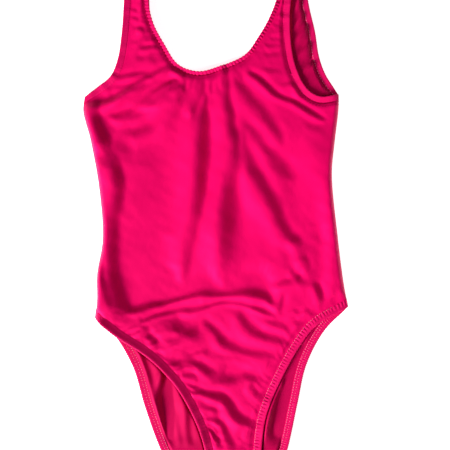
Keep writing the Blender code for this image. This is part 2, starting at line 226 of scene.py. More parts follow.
# Creases. The steep face lies on the path and runs downhill to the left of it; crest and valley
# are how far the cloth takes to level out on the high and the low side of it. A third number at
# a point of the path is the share of these widths the crease has there, and flat is how many
# mm the low side stays down before it rises again.
Crease = namedtuple("Crease", "name slope crest valley path flat", defaults=[0.0])
creases = [
    # Left strap
    Crease("left strap 1", 0.40, 2.5, 2.5, [(-107, 274), (-102, 273), (-97, 270)]),
    Crease("left strap 2", 0.40, 2.5, 2.5, [(-106, 266), (-101, 263), (-94, 260)]),
    Crease("left strap 3", 0.48, 4, 3, [(-103, 247), (-96, 250), (-86, 249)]),
    Crease("left strap 4", 0.24, 3, 3, [(-105, 231), (-101, 233), (-96, 232)]),
    Crease("left strap 5", 0.28, 3, 3, [(-88, 235), (-82, 237), (-78, 241)]),
    Crease("left strap 6", 0.48, 4, 3, [(-96, 225), (-86, 226), (-78, 229), (-75, 232)]),
    Crease("left strap 7", 0.28, 4, 3, [(-102, 213), (-91, 213), (-80, 216)]),
    Crease("left strap 8", 0.24, 4, 4, [(-83, 222), (-77, 212), (-71, 208)]),
    # Left chest
    Crease("strap foot", 0.60, 4, 3,
           [(-127, 189, 0.6), (-113, 191), (-95, 193), (-80, 194), (-67, 199), (-57, 205, 0.7)]),
    Crease("neck corner", 0.60, 4, 3, [(-58, 202), (-50, 199), (-41, 194), (-35, 190)]),
    Crease("chest fine 1", 0.40, 3, 2.5, [(-135, 175, 0.6), (-122, 178), (-107, 182), (-93, 188, 0.6)]),
    Crease("chest fine 2", 0.40, 3, 2.5, [(-110, 170, 0.6), (-95, 175), (-80, 182), (-66, 189, 0.6)]),
    Crease("chest fine 3", 0.36, 3, 2.5, [(-82, 169, 0.6), (-70, 176), (-57, 184), (-48, 190, 0.6)]),
    Crease("chest fine 4", 0.36, 3.5, 3, [(-92, 148, 0.6), (-78, 158), (-66, 168), (-56, 178, 0.6)]),
    Crease("bust upper", 1.00, 5, 4.5,
           [(-156, 158, 1), (-141, 158, 1.2), (-130, 161, 1.2), (-120, 167, 1.1), (-110, 174, 1),
            (-98, 181, 0.8), (-88, 187, 0.6), (-75, 191, 0.5)]),
    Crease("bust middle", 0.65, 8, 6,
           [(-137, 140, 0.5), (-117, 144, 0.8), (-101, 150, 0.9), (-87, 160, 1), (-76, 169, 1),
            (-65, 178, 1), (-52, 184, 0.8), (-41, 189, 0.5)]),
    Crease("bust lower", 0.52, 6, 5,
           [(-115, 135, 0.6), (-97, 140, 0.9), (-82, 148, 1), (-70, 158, 1), (-57, 168, 1),
            (-47, 176, 0.8), (-37, 182, 0.5)]),
    Crease("bust lowest", 0.50, 9, 7,
           [(-117, 118, 0.6), (-100, 122, 0.9), (-85, 129, 1), (-72, 139, 1), (-62, 150, 0.9),
            (-53, 161, 0.7), (-47, 171, 0.5)]),
    Crease("armpit pocket", 0.28, 4, 3, [(-133, 178), (-131, 171), (-130, 164)]),
    Crease("under the pocket", 0.20, 5, 4, [(-128, 175, 0.6), (-115, 179), (-100, 185), (-87, 190, 0.6)]),
    # Left side, a roll along the seam and the hollow inside it
    Crease("side upper", 0.85, 8, 7,
           [(-147, 164, 0.6), (-148, 152, 0.8), (-148, 140, 0.9), (-145, 129, 1), (-140, 119, 1.1),
            (-136, 110, 1.2), (-136, 99, 1.1), (-138, 89, 0.8)], 45),
    Crease("side middle", 0.75, 14, 10,
           [(-130, 100, 0.6), (-126, 88, 0.8), (-122, 74, 0.8), (-118, 60, 0.8), (-118, 45, 0.8),
            (-120, 30, 0.8), (-123, 16, 0.9), (-125, 2, 0.9), (-125, -15, 0.9), (-125, -34, 0.9),
            (-125, -51, 1), (-122, -71, 1.2), (-118, -90, 1.4), (-115, -105, 1.3), (-110, -120, 1)], 40),
    Crease("side edge", 0.55, 3, 4,
           [(-142, -20, 0.6), (-145, -35, 0.9), (-143, -50, 1.1), (-141, -66, 1.2), (-136, -84, 1.3),
            (-131, -100, 1)]),
    Crease("waist notch", 0.16, 5, 4, [(-117, 34, 0.6), (-110, 22), (-102, 10, 0.6)]),
    Crease("waist notch low", 0.12, 5, 4, [(-118, 14, 0.6), (-110, 2), (-101, -8, 0.6)]),
    Crease("left facet", 0.12, 12, 5, [(-111, 118), (-109, 96), (-106, 75)]),
    Crease("left belly 1", 0.28, 6, 5, [(-103, -68), (-100, -79), (-101, -90)]),
    Crease("left belly 2", 0.28, 6, 6, [(-83, -65, 0.6), (-80, -76, 1), (-81, -88, 1)]),
    Crease("left belly 3", 0.30, 3.5, 7,
           [(-66, -40, 0.5), (-62, -52, 0.9), (-58, -65, 1), (-55, -78, 1), (-53, -85, 0.6)]),
    # Middle
    Crease("neck gather left", 0.60, 5, 3,
           [(-12, 189, 0.7), (-15, 175), (-21, 161), (-27, 148), (-31, 135, 0.8)]),
    Crease("gather 1", 0.40, 2.5, 2.5, [(-37, 188), (-39, 180), (-41, 171)]),
    Crease("gather 2", 0.40, 2.5, 2.5, [(-28, 189), (-30, 182), (-33, 175)]),
    Crease("gather 3", 0.40, 2.5, 2.5, [(-20, 189), (-23, 180), (-25, 171)]),
    Crease("gather 4", 0.44, 3, 3, [(-3, 189), (-6, 180), (-9, 169)]),
    Crease("gather 5", 0.36, 2.5, 2.5, [(3, 190), (2, 182), (0, 172)]),
    Crease("gather 6", 0.36, 2.5, 2.5, [(9, 192), (8, 185), (6, 178)]),
    Crease("gather 7", 0.32, 2.5, 2.5, [(27, 199), (30, 192), (35, 186)]),
    Crease("left of centre", 0.46, 13, 8,
           [(-12, 172, 0.15), (-12, 152, 0.35), (-12, 132, 0.65), (-12, 110, 0.8), (-13, 88, 0.8),
            (-16, 65, 0.75), (-18, 44, 0.8), (-23, 25, 0.85), (-27, 6, 0.9), (-30, -12, 0.95),
            (-33, -31, 0.85), (-36, -50, 0.65), (-38, -72, 0.35)]),
    Crease("centre", 0.50, 22, 14,
           [(12, 225, 0.2), (13, 195, 0.22), (15, 175, 0.25), (18, 152, 0.27), (21, 131, 0.29),
            (24, 109, 0.32), (25, 88, 0.38), (23, 69, 0.46), (20, 48, 0.6), (18, 25, 0.8), (18, 0, 0.95),
            (17, -31, 1), (17, -68, 1)]),
    Crease("bright left of the hollow", 0.30, 12, 15,
           [(-42, -12, 0.8), (-41, 6), (-40, 38), (-40, 69), (-40, 100), (-38, 131, 0.8),
            (-36, 162, 0.4)]),
    Crease("bright middle", 0.36, 9, 10,
           [(-6, -65, 0.8), (-5, -45), (-5, -12), (-4, 19), (-2, 50), (-1, 81), (0, 112),
            (0, 144, 0.8), (-1, 175, 0.4)]),
    Crease("diagonal", 0.45, 12, 7,
           [(30, 130, 0.4), (34, 110, 0.8), (40, 92, 1), (49, 75, 1), (57, 60, 1), (64, 46, 1),
            (72, 32, 0.95), (78, 19, 0.85), (83, 6, 0.8), (90, -4, 0.75), (99, -12, 0.7),
            (109, -22, 0.5)]),
    Crease("diagonal ridge", 0.30, 6, 6, [(102, -50, 0.6), (97, -35), (92, -20), (89, -5, 0.8)]),
    Crease("below the diagonal", 0.14, 14, 20,
           [(98, -42), (83, -20), (68, 5), (54, 30), (44, 55), (37, 80)]),
    Crease("right half", 0.24, 18, 24,
           [(129, -40), (127, -2), (122, 35), (114, 72), (104, 110), (94, 135)]),
    Crease("right edge rise", 0.30, 6, 9,
           [(138, -88, 0.8), (139, -56), (138, -25), (135, 6), (133, 38), (132, 69, 0.8)]),
    Crease("diagonal foot", 0.32, 6, 4, [(107, -28), (113, -40), (115, -55)]),
    Crease("right vertical", 0.24, 6, 6, [(130, 10), (127, -5), (125, -20)]),
    Crease("faint diagonal", 0.32, 10, 7,
           [(32, 138, 0.6), (48, 120), (63, 101), (77, 85), (89, 71), (103, 58, 0.6)]),
    Crease("faint upper", 0.36, 9, 6,
           [(20, 194, 0.6), (30, 180, 0.8), (43, 165), (58, 148), (70, 130), (79, 115, 0.8),
            (83, 100, 0.5)]),
    # Right chest
    Crease("arm ridge back", 0.75, 4, 3.5,
           [(38, 199, 0.6), (52, 188, 1), (64, 178, 1), (74, 169, 1), (85, 163, 0.8), (97, 159, 0.9),
            (108, 152, 1), (118, 146, 1), (128, 140, 0.8), (139, 135, 0.4)]),
    Crease("arm ridge under", 0.18, 5, 5, [(107, 135), (124, 127), (138, 123)]),
    Crease("puff side", 0.36, 4, 3, [(100, 182), (104, 171), (104, 161)]),
    Crease("puff top", 0.28, 4, 3, [(76, 177), (84, 180), (94, 181), (101, 180)]),
    Crease("right chest 1", 0.28, 4, 3, [(56, 196), (63, 198), (72, 198), (83, 200)]),
    Crease("right chest 2", 0.26, 4, 3, [(57, 217), (68, 218), (82, 218)]),
    Crease("right strap 1", 0.32, 3, 2.5, [(58, 232), (68, 229), (82, 231)]),
    Crease("right strap 2", 0.28, 3, 2.5, [(63, 237), (72, 236), (83, 236)]),
    Crease("right strap 3", 0.24, 3, 2.5, [(68, 246), (75, 247), (83, 247)]),
    Crease("right strap 4", 0.24, 3, 2.5, [(71, 252), (82, 253)]),
    Crease("right strap 5", 0.32, 3, 2.5, [(76, 265), (79, 267), (87, 266)]),
    Crease("right strap 6", 0.24, 3, 2.5, [(77, 271), (83, 271)]),
    Crease("right strap 7", 0.32, 3, 2.5, [(79, 280), (84, 285)]),
    # Hips
    Crease("hip back", 0.75, 3.5, 8,
           [(-117, -102, 0.8), (-102, -99, 1.2), (-86, -94, 1.4), (-70, -89, 1.4), (-56, -86, 1.2),
            (-42, -85, 1.1), (-28, -81, 1.3), (-16, -78, 1.6), (-3, -80, 1.1), (10, -81, 0.9),
            (25, -79, 1.4), (38, -78, 1.8), (50, -79, 1.8), (60, -84, 1.2), (68, -91, 0.8),
            (75, -99, 0.5)]),
    Crease("hip under", 0.62, 3.5, 4,
           [(-95, -115, 0.6), (-80, -109, 0.8), (-63, -104, 0.9), (-45, -101, 1.2), (-26, -99, 1.3),
            (-11, -95, 1), (3, -91, 0.8), (18, -90, 0.8), (34, -92, 0.8), (50, -97, 0.9), (65, -103, 0.9),
            (78, -109, 0.7)]),
    Crease("right hip top", 0.52, 6, 4,
           [(61, -70), (71, -68), (82, -65), (91, -63), (100, -61), (110, -64), (119, -63)]),
    Crease("right hip notch", 0.48, 4, 4, [(91, -50), (99, -55), (106, -61)]),
    Crease("right hip side", 0.60, 5, 4, [(122, -59), (126, -70), (130, -81), (132, -97)]),
    Crease("right hip left", 0.52, 5, 4, [(82, -75), (82, -87), (79, -98), (77, -110)]),
    Crease("right hip 2", 0.28, 4, 4, [(140, -82), (143, -90), (146, -97)]),
    Crease("right hip 3", 0.36, 4, 3, [(112, -96), (118, -102), (125, -106)]),
    Crease("right hip 4", 0.32, 4, 3, [(94, -112), (101, -115), (110, -116)]),
    Crease("right hip 5", 0.20, 4, 4, [(97, -97), (99, -101), (101, -106)]),
    # Below the hips
    Crease("curl side", 0.40, 5, 4, [(-86, -115), (-87, -127), (-97, -138)]),
    Crease("left puff side", 0.28, 6, 5, [(-54, -105), (-49, -114), (-55, -123)]),
    Crease("swirl 1", 0.52, 5, 4, [(-88, -129), (-79, -135), (-70, -146)]),
    Crease("swirl 2", 0.40, 6, 5, [(-68, -135), (-56, -138), (-44, -136), (-33, -129), (-21, -126)]),
    Crease("lobe edge", 0.40, 5, 3, [(-44, -156), (-32, -156), (-21, -152), (-11, -144)]),
    Crease("belly 1", 0.48, 6, 5, [(-26, -111), (-14, -114), (-5, -122), (5, -134), (17, -144)]),
    Crease("belly 2", 0.52, 7, 6,
           [(26, -92), (31, -104), (36, -116), (47, -126), (59, -132), (72, -136), (86, -139), (95, -143)]),
    Crease("under hip shade", 0.42, 9, 9,
           [(-72, -115, 0.7), (-50, -120), (-27, -125), (-5, -126, 0.8)]),
    Crease("belly 3", 0.40, 5, 5, [(54, -108), (67, -113), (77, -117), (89, -123), (100, -130)]),
    Crease("belly 4", 0.44, 7, 6,
           [(-3, -129), (6, -136), (19, -144), (31, -150), (44, -153), (59, -153), (70, -155), (79, -162)]),
    Crease("crotch 1", 0.52, 5, 5,
           [(-64, -159), (-55, -164), (-43, -166), (-29, -165), (-19, -169), (-9, -176), (5, -183)]),
    Crease("crotch 1 right", 0.46, 7, 6,
           [(-3, -177), (8, -185), (21, -185), (34, -181), (44, -183), (54, -189), (64, -194)]),
    Crease("crotch thin", 0.24, 4, 3, [(-3, -155), (19, -158), (34, -163), (52, -167)]),
    Crease("crotch nick", 0.44, 5, 4, [(39, -189), (47, -199), (53, -204), (64, -204)]),
    Crease("crotch 2", 0.40, 4, 4, [(-44, -179), (-35, -180), (-21, -180)]),
    Crease("crotch 3", 0.52, 5, 4, [(-36, -197), (-21, -199), (-9, -204), (5, -207)]),
    Crease("crotch 3 right", 0.64, 6, 5,
           [(-15, -203), (-4, -204), (6, -207), (15, -214), (22, -226), (31, -234), (44, -241), (56, -242)]),
    Crease("crotch 4", 0.48, 5, 4, [(-27, -214), (-14, -217), (-2, -223), (7, -231)]),
    Crease("crotch 4 right", 0.48, 6, 5, [(-3, -233), (6, -240), (12, -251), (17, -264), (22, -278)]),
    Crease("crotch 5", 0.40, 4, 4, [(-17, -229), (-2, -234), (7, -239)]),
    Crease("crotch 6", 0.48, 5, 4, [(-11, -249), (-2, -254), (5, -264), (9, -277)]),
    Crease("crotch 7", 0.40, 4, 4, [(-14, -245), (-2, -249), (7, -256)]),
    Crease("crotch 8", 0.40, 4, 4, [(-6, -255), (7, -266)]),
    Crease("crotch puff", 0.28, 4, 4, [(33, -262), (35, -253), (43, -248)]),
]
# A crease comes up at its ends over a share of its length, or over some of its widths if that is
# less. Its widths are spread by a factor. Tail and flatTail say how it dies away past them, as
# shares of the spread width and of flat, and past reach and flatReach of them nothing is left.
creaseShape = {"fade": 0.30, "ease": 2.0, "spread": 1.5, "tail": 0.75, "flatTail": 0.25,
               "reach": 2.35, "flatReach": 1.5, "stationsPerPoint": 4}


def creaseHeight(xy, crease):
    path = np.array([point if len(point) == 3 else (*point, 1.0) for point in crease.path])
    shape = creaseShape
    widest = shape["spread"] * path[:, 2].max() * max(crease.crest, crease.valley)
    reach = shape["reach"] * widest + shape["flatReach"] * crease.flat
    line = spline(path, len(path) * shape["stationsPerPoint"])
    shares, line = line[:, 2], line[:, :2]
    low, high = line.min(0) - reach, line.max(0) + reach
    near = np.all((xy > low) & (xy < high), axis=1)
    height = np.zeros(len(xy))
    if not near.any():
        return height
    distance, side, along = nearest(xy[near], line)
    length = runningLength(line)[-1]
    share = np.interp(along, np.linspace(0.0, length, len(shares)), shares)
    spread = shape["spread"] * share * np.where(side > 0, crease.valley, crease.crest)
    start, end = (min(shape["fade"] * length, shape["ease"] * widest * shares[k] / shares.max())
                  for k in (0, -1))
    fade = smooth(along / start) * smooth((length - along) / end)
    turn = math.sqrt(0.5) * spread  # where x * exp(-x * x) is highest
    rise = np.minimum(distance, turn) * np.exp(-(np.minimum(distance, turn) / spread)**2)
    flat = np.where(side > 0, crease.flat, 0.0)
    past = np.maximum(distance - turn - flat, 0.0)
    rise *= np.exp(-(past / (shape["tail"] * spread + shape["flatTail"] * flat))**2)
    height[near] = -crease.slope * fade * side * rise
    return height


def softFloor(z, lowest, blend=1.2):
    # z, held above the lowest level with a soft bend
    return lowest + blend * np.logaddexp(0.0, (z - lowest) / blend)


def waver(xy, wavelength, seed):
    # a soft uneven field between about -1 and 1, the sum of seven waves that run different ways
    draw = np.random.default_rng(seed)
    total = np.zeros(len(xy))
    for _ in range(7):
        turn, shift = draw.uniform(0, 2 * math.pi, 2)
        pace = 2 * math.pi / (wavelength * draw.uniform(0.7, 1.4))
        total += np.sin(pace * (xy[:, 0] * math.cos(turn) + xy[:, 1] * math.sin(turn)) + shift)
    return total / 3.0


# Ripples that the elastic pulls into a panel beside its turned edges: pitch along the edge,
# height, how far they reach in, and how far they lean along the edge for each mm inwards
Ripple = namedtuple("Ripple", "edge pitch height reach lean")
ripples = [
    Ripple("legLeft", 3.4, 0.25, 4.0, 0.3),
    Ripple("legLeft", 11.5, 0.75, 13.0, -0.5),
    Ripple("legRight", 4.0, 0.30, 4.0, 0.0),
    Ripple("legRight", 9.5, 0.60, 12.0, 0.35),
    Ripple("neck", 2.6, 0.22, 4.5, 0.0),
    Ripple("neck", 8.0, 0.40, 9.0, 0.2),
    Ripple("armLeft", 3.1, 0.10, 3.0, 0.0),
    Ripple("armRight", 3.1, 0.10, 3.0, 0.0),
]
# What all ripples share: how far in they start, and how much their place and strength waver
rippleShape = {"start": 2.5, "shift": 0.35, "shiftWave": 23, "strength": 0.75, "change": 0.35,
               "changeWave": 31}
# How the panel comes up to its full height from each turned edge: how far from it the rise
# starts and over what length, and the height of the rim at the edge and how far that reaches
Rise = namedtuple("Rise", "start over rim reach")
rises = {
    "neck": Rise(-6.0, 14.0, -0.6, 4.0),
    "armLeft": Rise(0.0, 16.0, -0.5, 6.0),
    "armRight": Rise(-2.0, 8.0, 0.5, 14.0),
    "legLeft": Rise(90.0, 120.0, 5.5, 70.0),
    "legRight": Rise(0.0, 16.0, -0.9, 7.0),
}
pillow = {"lift": 2.5, "rise": 3.2, "right": 6.0}  # right is the length of the rise at that side seam
sideRolls = {"left": 5.0, "right": 3.0}  # the widths over which the front turns down to its seams
creaseBend = {"amount": 0.6, "wave": 30}  # how far the creases wander from their paths
swells = [(0.35, 55), (0.12, 17), (0.04, 8)]  # height and wavelength of the cloth's own unevenness

# Rows and columns of the panels' meshes beside each edge. The first settleRows below the straps
# still bend with the openings.
frontGrid = {"strapRows": 72, "seamRows": 104, "legRows": 136, "armColumns": 32, "strapColumns": 20,
             "neckColumns": 60, "settleRows": 90}
backGrid = {"strapRows": 50, "seamRows": 70, "legRows": 110, "armColumns": 22, "strapColumns": 12,
            "neckColumns": 50, "settleRows": 60}


def frontHeight(xy):
    # middle of the front's wall above the table
    _, inner = edgeLines(front, frontGrid, 0.0)
    seams = seamLines(stations["frontSeam"], levels["seamGap"])
    edges = {edge: nearest(xy, resample(getattr(inner, edge), stations["frontEdge"])) for edge in rises}
    toHem = np.min([near[0] for near in edges.values()], axis=0)
    toSeam = [nearest(xy, line)[0] for line in seams]
    reached = [(edges[edge][0] - rise.start) / rise.over for edge, rise in rises.items()]
    reached.append(toSeam[1] / pillow["right"])
    z = levels["frontHem"] + pillow["lift"] + pillow["rise"] * smooth(np.min(reached, axis=0))
    for edge, rise in rises.items():
        z += rise.rim * (1.0 - smooth(edges[edge][0] / rise.reach))
    wander = np.stack([waver(xy, creaseBend["wave"], seed) for seed in (5, 6)], axis=1)
    bent = xy + creaseBend["amount"] * wander
    for crease in creases:
        z += creaseHeight(bent, crease)
    shift = rippleShape["shift"] * waver(xy, rippleShape["shiftWave"], 7)
    strength = rippleShape["strength"] + rippleShape["change"] * waver(xy, rippleShape["changeWave"], 8)
    for ripple in ripples:
        distance, _, along = edges[ripple.edge]
        turn = along + ripple.lean * distance + shift * ripple.pitch
        wave = np.cos(2 * math.pi * turn / ripple.pitch) * strength
        started = smooth(distance / rippleShape["start"])
        z += ripple.height * wave * np.exp(-distance / ripple.reach) * started
    z = softFloor(z, levels["frontFloor"])
    z = levels["frontTop"] - softFloor(levels["frontTop"] - z, 0.0)
    for seed, (amount, wavelength) in enumerate(swells, 1):
        z += amount * waver(xy, wavelength, seed)
    lying = smooth((openEnds["y"] - np.abs(xy[:, 1])) / openEnds["ease"])
    for corner in (sideLeft[0], sideLeft[-1], sideRight[0], sideRight[-1]):
        lying = np.minimum(lying, smooth(np.linalg.norm(xy - corner, axis=1) / cornerEase))
    z = levels["frontHem"] + (z - levels["frontHem"]) * lying
    openEnd = smooth(toHem / seamEndBlend)
    low = levels["frontHem"] + (levels["seam"] - levels["frontHem"]) * openEnd
    for distance, width in zip(toSeam, (sideRolls["left"], sideRolls["right"])):
        z = low + (z - low) * np.sqrt(smooth(distance / width))
    return z


# Folds of the back where the openings of the front bare it
backCreases = [
    Crease("armhole 1", 0.9, 3, 3, [(97, 268), (102, 284), (108, 304), (112, 322)]),
    Crease("armhole 2", 0.9, 3, 3, [(96, 250), (103, 262), (110, 277), (116, 292)]),
    Crease("armhole 3", 0.9, 3, 3, [(97, 234), (104, 244), (112, 256), (119, 270)]),
    Crease("armhole 4", 0.9, 3, 3, [(101, 218), (110, 226), (120, 238)]),
    Crease("armhole 5", 0.9, 3, 3, [(107, 202), (117, 207), (128, 216)]),
    Crease("left leg fold", 1.30, 5, 9,
           [(-61, -170, 0.5), (-66, -185, 0.8), (-70, -208), (-68, -230), (-65, -252, 0.9),
            (-62, -275, 0.7)]),
    Crease("left leg band side", 0.60, 3, 5,
           [(-93, -150, 0.6), (-90, -165), (-83, -185), (-78, -202), (-75, -219, 0.6)]),
    Crease("left leg far", 0.48, 4, 4, [(-40, -202), (-35, -225), (-35, -248), (-30, -272)]),
    Crease("left leg mid", 0.40, 4, 5, [(-52, -218), (-48, -244), (-40, -272)]),
    Crease("right leg shade", 1.20, 8, 11,
           [(108, -131, 0.5), (95, -156, 0.8), (83, -185), (75, -212), (69, -240), (63, -272)]),
    Crease("right leg fold", 0.64, 4, 5, [(82, -180), (89, -198), (98, -212)]),
]
backFoldMargin = 3.0  # how wide they come up beside the front's edge and the back's own
backFoldRise = 4.0  # how far the cloth stands up between them
bareSides = {"legLeft": -1, "legRight": 1, "armRight": 1}  # the side of these edges that is bare, 1 is left


def backHeight(xy):
    # middle of the back's wall above the table
    _, inner = edgeLines(back, backGrid, 0.0)
    toHem = np.min([nearest(xy, resample(line, stations["backEdge"]))[0] for line in inner], axis=0)
    lift = sum(creaseHeight(xy, crease) for crease in backCreases)
    bare = np.full(len(xy), -np.inf)
    for edge, outside in bareSides.items():
        distance, side, _ = nearest(xy, spline(getattr(front, edge), stations["frontOutline"]))
        bare = np.maximum(bare, outside * side * distance)
    shown = smooth(toHem / backFoldMargin) * smooth(bare / backFoldMargin)
    return levels["back"] + np.maximum(lift + backFoldRise, 0.0) * shown


# Materials


class Wire:
    # one socket, so that sums on sockets add their nodes

    def __init__(self, tree, socket):
        self.tree, self.socket = tree, socket

    def maths(self, operation, first, second):
        return addNode(self.tree, "ShaderNodeMath", {"operation": operation}, {0: first, 1: second})

    def __add__(self, other):
        return self.maths("ADD", self, other)

    def __sub__(self, other):
        return self.maths("SUBTRACT", self, other)

    def __rsub__(self, other):
        return self.maths("SUBTRACT", other, self)

    def __mul__(self, other):
        return self.maths("MULTIPLY", self, other)

    __radd__, __rmul__ = __add__, __mul__


def addNode(tree, kind, settings, sockets, output=0):
    node = tree.nodes.new(kind)
    for name, value in settings.items():
        setattr(node, name, value)
    for key, value in sockets.items():
        if isinstance(value, Wire):
            tree.links.new(value.socket, node.inputs[key])
        else:
            node.inputs[key].default_value = value
    return Wire(tree, node.outputs[output])


# The knit's rows for each wale, how far its loops lean, and the heights of loops and wales
knitShape = {"rows": 1.25, "lean": 1.2, "loops": 0.3, "wales": 0.5, "level": 0.4}

# What all cloths share: sizes of the noises, how much each changes the colour, and the bump. The knit's
# share is painted shade, darker between its loops.
grainShape = {"patchScale": 28.0, "grainScale": 900.0, "knitShade": 0.16, "grainTone": 0.55,
              "patchTone": 0.35, "roughChange": 0.12, "bumpDepth": 0.00025, "grainBump": 1.6}


def knitHeight(tree, pitch):
    # rows of small V loops, in the cloth's own metres
    place = addNode(tree, "ShaderNodeUVMap", {"uv_map": "cloth"}, {})
    u = addNode(tree, "ShaderNodeSeparateXYZ", {}, {0: place}, 0) * (1.0 / (pitch * mm))
    v = addNode(tree, "ShaderNodeSeparateXYZ", {}, {0: place}, 1) * (knitShape["rows"] / (pitch * mm))
    across = addNode(tree, "ShaderNodeMath", {"operation": "PINGPONG"}, {0: u, 1: 0.5})
    turn = (v + across * knitShape["lean"]) * (2 * math.pi)
    loops = addNode(tree, "ShaderNodeMath", {"operation": "SINE"}, {0: turn})
    wales = addNode(tree, "ShaderNodeMath", {"operation": "SINE"}, {0: across * (2 * math.pi)})
    return loops * knitShape["loops"] + wales * knitShape["wales"] + knitShape["level"]


def makeCloth(name, look):
    material = bpy.data.materials.new(name)
    material.use_nodes = True
    tree = material.node_tree
    shader = tree.nodes["Principled BSDF"]
    shape = grainShape
    place = addNode(tree, "ShaderNodeTexCoord", {}, {}, "Object")
    patches = addNode(tree, "ShaderNodeTexNoise", {},
                      {"Vector": place, "Scale": shape["patchScale"], "Detail": 3.0})
    grain = addNode(tree, "ShaderNodeTexNoise", {},
                    {"Vector": place, "Scale": shape["grainScale"], "Detail": 2.0})
    knit = knitHeight(tree, look["pitch"])
    # Colour: random tone from the grain and the patches, and painted shade from the knit, darker between its
    # loops and lighter on their tops
    toneAndKnitShade = knit * shape["knitShade"] + grain * shape["grainTone"] + patches * shape["patchTone"]
    # a colour Mix node has its factor on 0, its colours on 6 and 7, and its result on 2
    colour = addNode(tree, "ShaderNodeMix", {"data_type": "RGBA"},
                     {0: toneAndKnitShade, 6: (*look["deep"], 1.0), 7: (*look["light"], 1.0)}, 2)
    tree.links.new(colour.socket, shader.inputs["Base Color"])
    rough = grain * shape["roughChange"] + (look["roughness"] - shape["roughChange"] / 2)
    tree.links.new(rough.socket, shader.inputs["Roughness"])
    height = knit + grain * shape["grainBump"]
    bump = addNode(tree, "ShaderNodeBump", {},
                   {"Strength": look["bump"], "Distance": shape["bumpDepth"], "Height": height}, "Normal")
    tree.links.new(bump.socket, shader.inputs["Normal"])
    shader.inputs["Specular IOR Level"].default_value = look["specular"]
    shader.inputs["Specular Tint"].default_value = (*look["sheen"], 1.0)
    shader.inputs["IOR"].default_value = look["ior"]
    return material


looks = {
    "front": {"deep": (0.62, 0.0005, 0.080), "light": (0.76, 0.0010, 0.112), "roughness": 0.60,
              "specular": 1.0, "sheen": (1.0, 0.0, 0.15), "ior": 1.7, "bump": 0.35, "pitch": 0.9},
    # The back's cloth is darker than the front's: partly the duller inside of the cloth, partly painted
    # shade for where it lies under the front in the openings.
    "back": {"deep": (0.40, 0.0005, 0.049), "light": (0.51, 0.0011, 0.071), "roughness": 0.62,
             "specular": 0.6, "sheen": (1.0, 0.0, 0.15), "ior": 1.6, "bump": 0.35, "pitch": 0.9},
    "edge": {"deep": (0.58, 0.001, 0.080), "light": (0.76, 0.005, 0.122), "roughness": 0.58,
             "specular": 0.6, "sheen": (1.0, 0.01, 0.16), "ior": 1.6, "bump": 0.45, "pitch": 0.8},
    "backEdge": {"deep": (0.54, 0.001, 0.070), "light": (0.72, 0.006, 0.118), "roughness": 0.58,
                 "specular": 0.6, "sheen": (1.0, 0.01, 0.16), "ior": 1.6, "bump": 0.45, "pitch": 0.8},
    "paleThread": {"deep": (0.74, 0.10, 0.24), "light": (0.90, 0.36, 0.48), "roughness": 0.5,
                   "specular": 0.5, "sheen": (1.0, 0.6, 0.7), "ior": 1.5, "bump": 0.2, "pitch": 0.3},
    # Near-black pink for the short dark dashes beside the right armhole
    "darkDash": {"deep": (0.22, 0.001, 0.03), "light": (0.34, 0.003, 0.05), "roughness": 0.5,
                   "specular": 0.3, "sheen": (1.0, 0.1, 0.2), "ior": 1.5, "bump": 0.2, "pitch": 0.3},
}
cloths = {name: makeCloth(name + "Cloth", look) for name, look in looks.items()}
print("materials made")


# Pieces


def newPiece(name, bm, cloth):
    mesh = bpy.data.meshes.new(name)
    bm.to_mesh(mesh)
    bm.free()
    mesh.materials.append(cloths[cloth])
    mesh.shade_smooth()
    piece = bpy.data.objects.new(name, mesh)
    bpy.context.scene.collection.objects.link(piece)
    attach(piece, "root")
    return piece


def gridMesh(columns, rows):
    # a grid, and the column and row of each of its vertices, counted from the top left
    bm = bmesh.new()
    bmesh.ops.create_grid(bm, x_segments=columns, y_segments=rows, size=0.5)
    places = {v: (round((v.co.x + 0.5) * columns), round((0.5 - v.co.y) * rows)) for v in bm.verts}
    return bm, places


def makePanel(name, node, outline, grid, height, cloth):
    plan = panelPlan(outline, grid, -tuck)
    flat = plan.reshape(-1, 2)
    known = ~np.isnan(flat[:, 0])
    top = np.zeros(len(flat))
    top[known] = height(flat[known]) + levels["wall"] / 2
    top = top.reshape(plan.shape[:2])
    bm, places = gridMesh(plan.shape[1] - 1, plan.shape[0] - 1)
    for v, (column, row) in places.items():
        v.co = (*(plan[row, column] * mm), top[row, column] * mm)
    cut = [v for v, (column, row) in places.items() if np.isnan(plan[row, column, 0])]
    bmesh.ops.delete(bm, geom=cut, context="VERTS")
    bmesh.ops.recalc_face_normals(bm, faces=bm.faces)
    if sum(f.normal.z for f in bm.faces) < 0:
        bmesh.ops.reverse_faces(bm, faces=bm.faces)
    layer = bm.loops.layers.uv.new("cloth")
    for face in bm.faces:
        for loop in face.loops:
            loop[layer].uv = loop.vert.co.xy
    area = sum(face.calc_area() for face in bm.faces)
    piece = newPiece(name, bm, cloth)
    wall = piece.modifiers.new("wall", "SOLIDIFY")
    wall.thickness = clothThickness * mm
    wall.offset = -1.0
    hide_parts(node)
    print(name, "made, area", round(area, 4))
    return piece


# A turned edge's section from its outer side to its inner side, in shares of width and thickness
hemTop = [(0.0, 0.15), (0.02, 0.36), (0.07, 0.50), (0.14, 0.55), (0.22, 0.54), (0.32, 0.50), (0.42, 0.48),
          (0.52, 0.47), (0.62, 0.47), (0.72, 0.46), (0.82, 0.45), (0.90, 0.42), (0.97, 0.34), (1.0, 0.15)]
hemUnder = [(1.0, -0.30), (0.85, -0.5), (0.5, -0.5), (0.15, -0.5), (0.0, -0.30)]

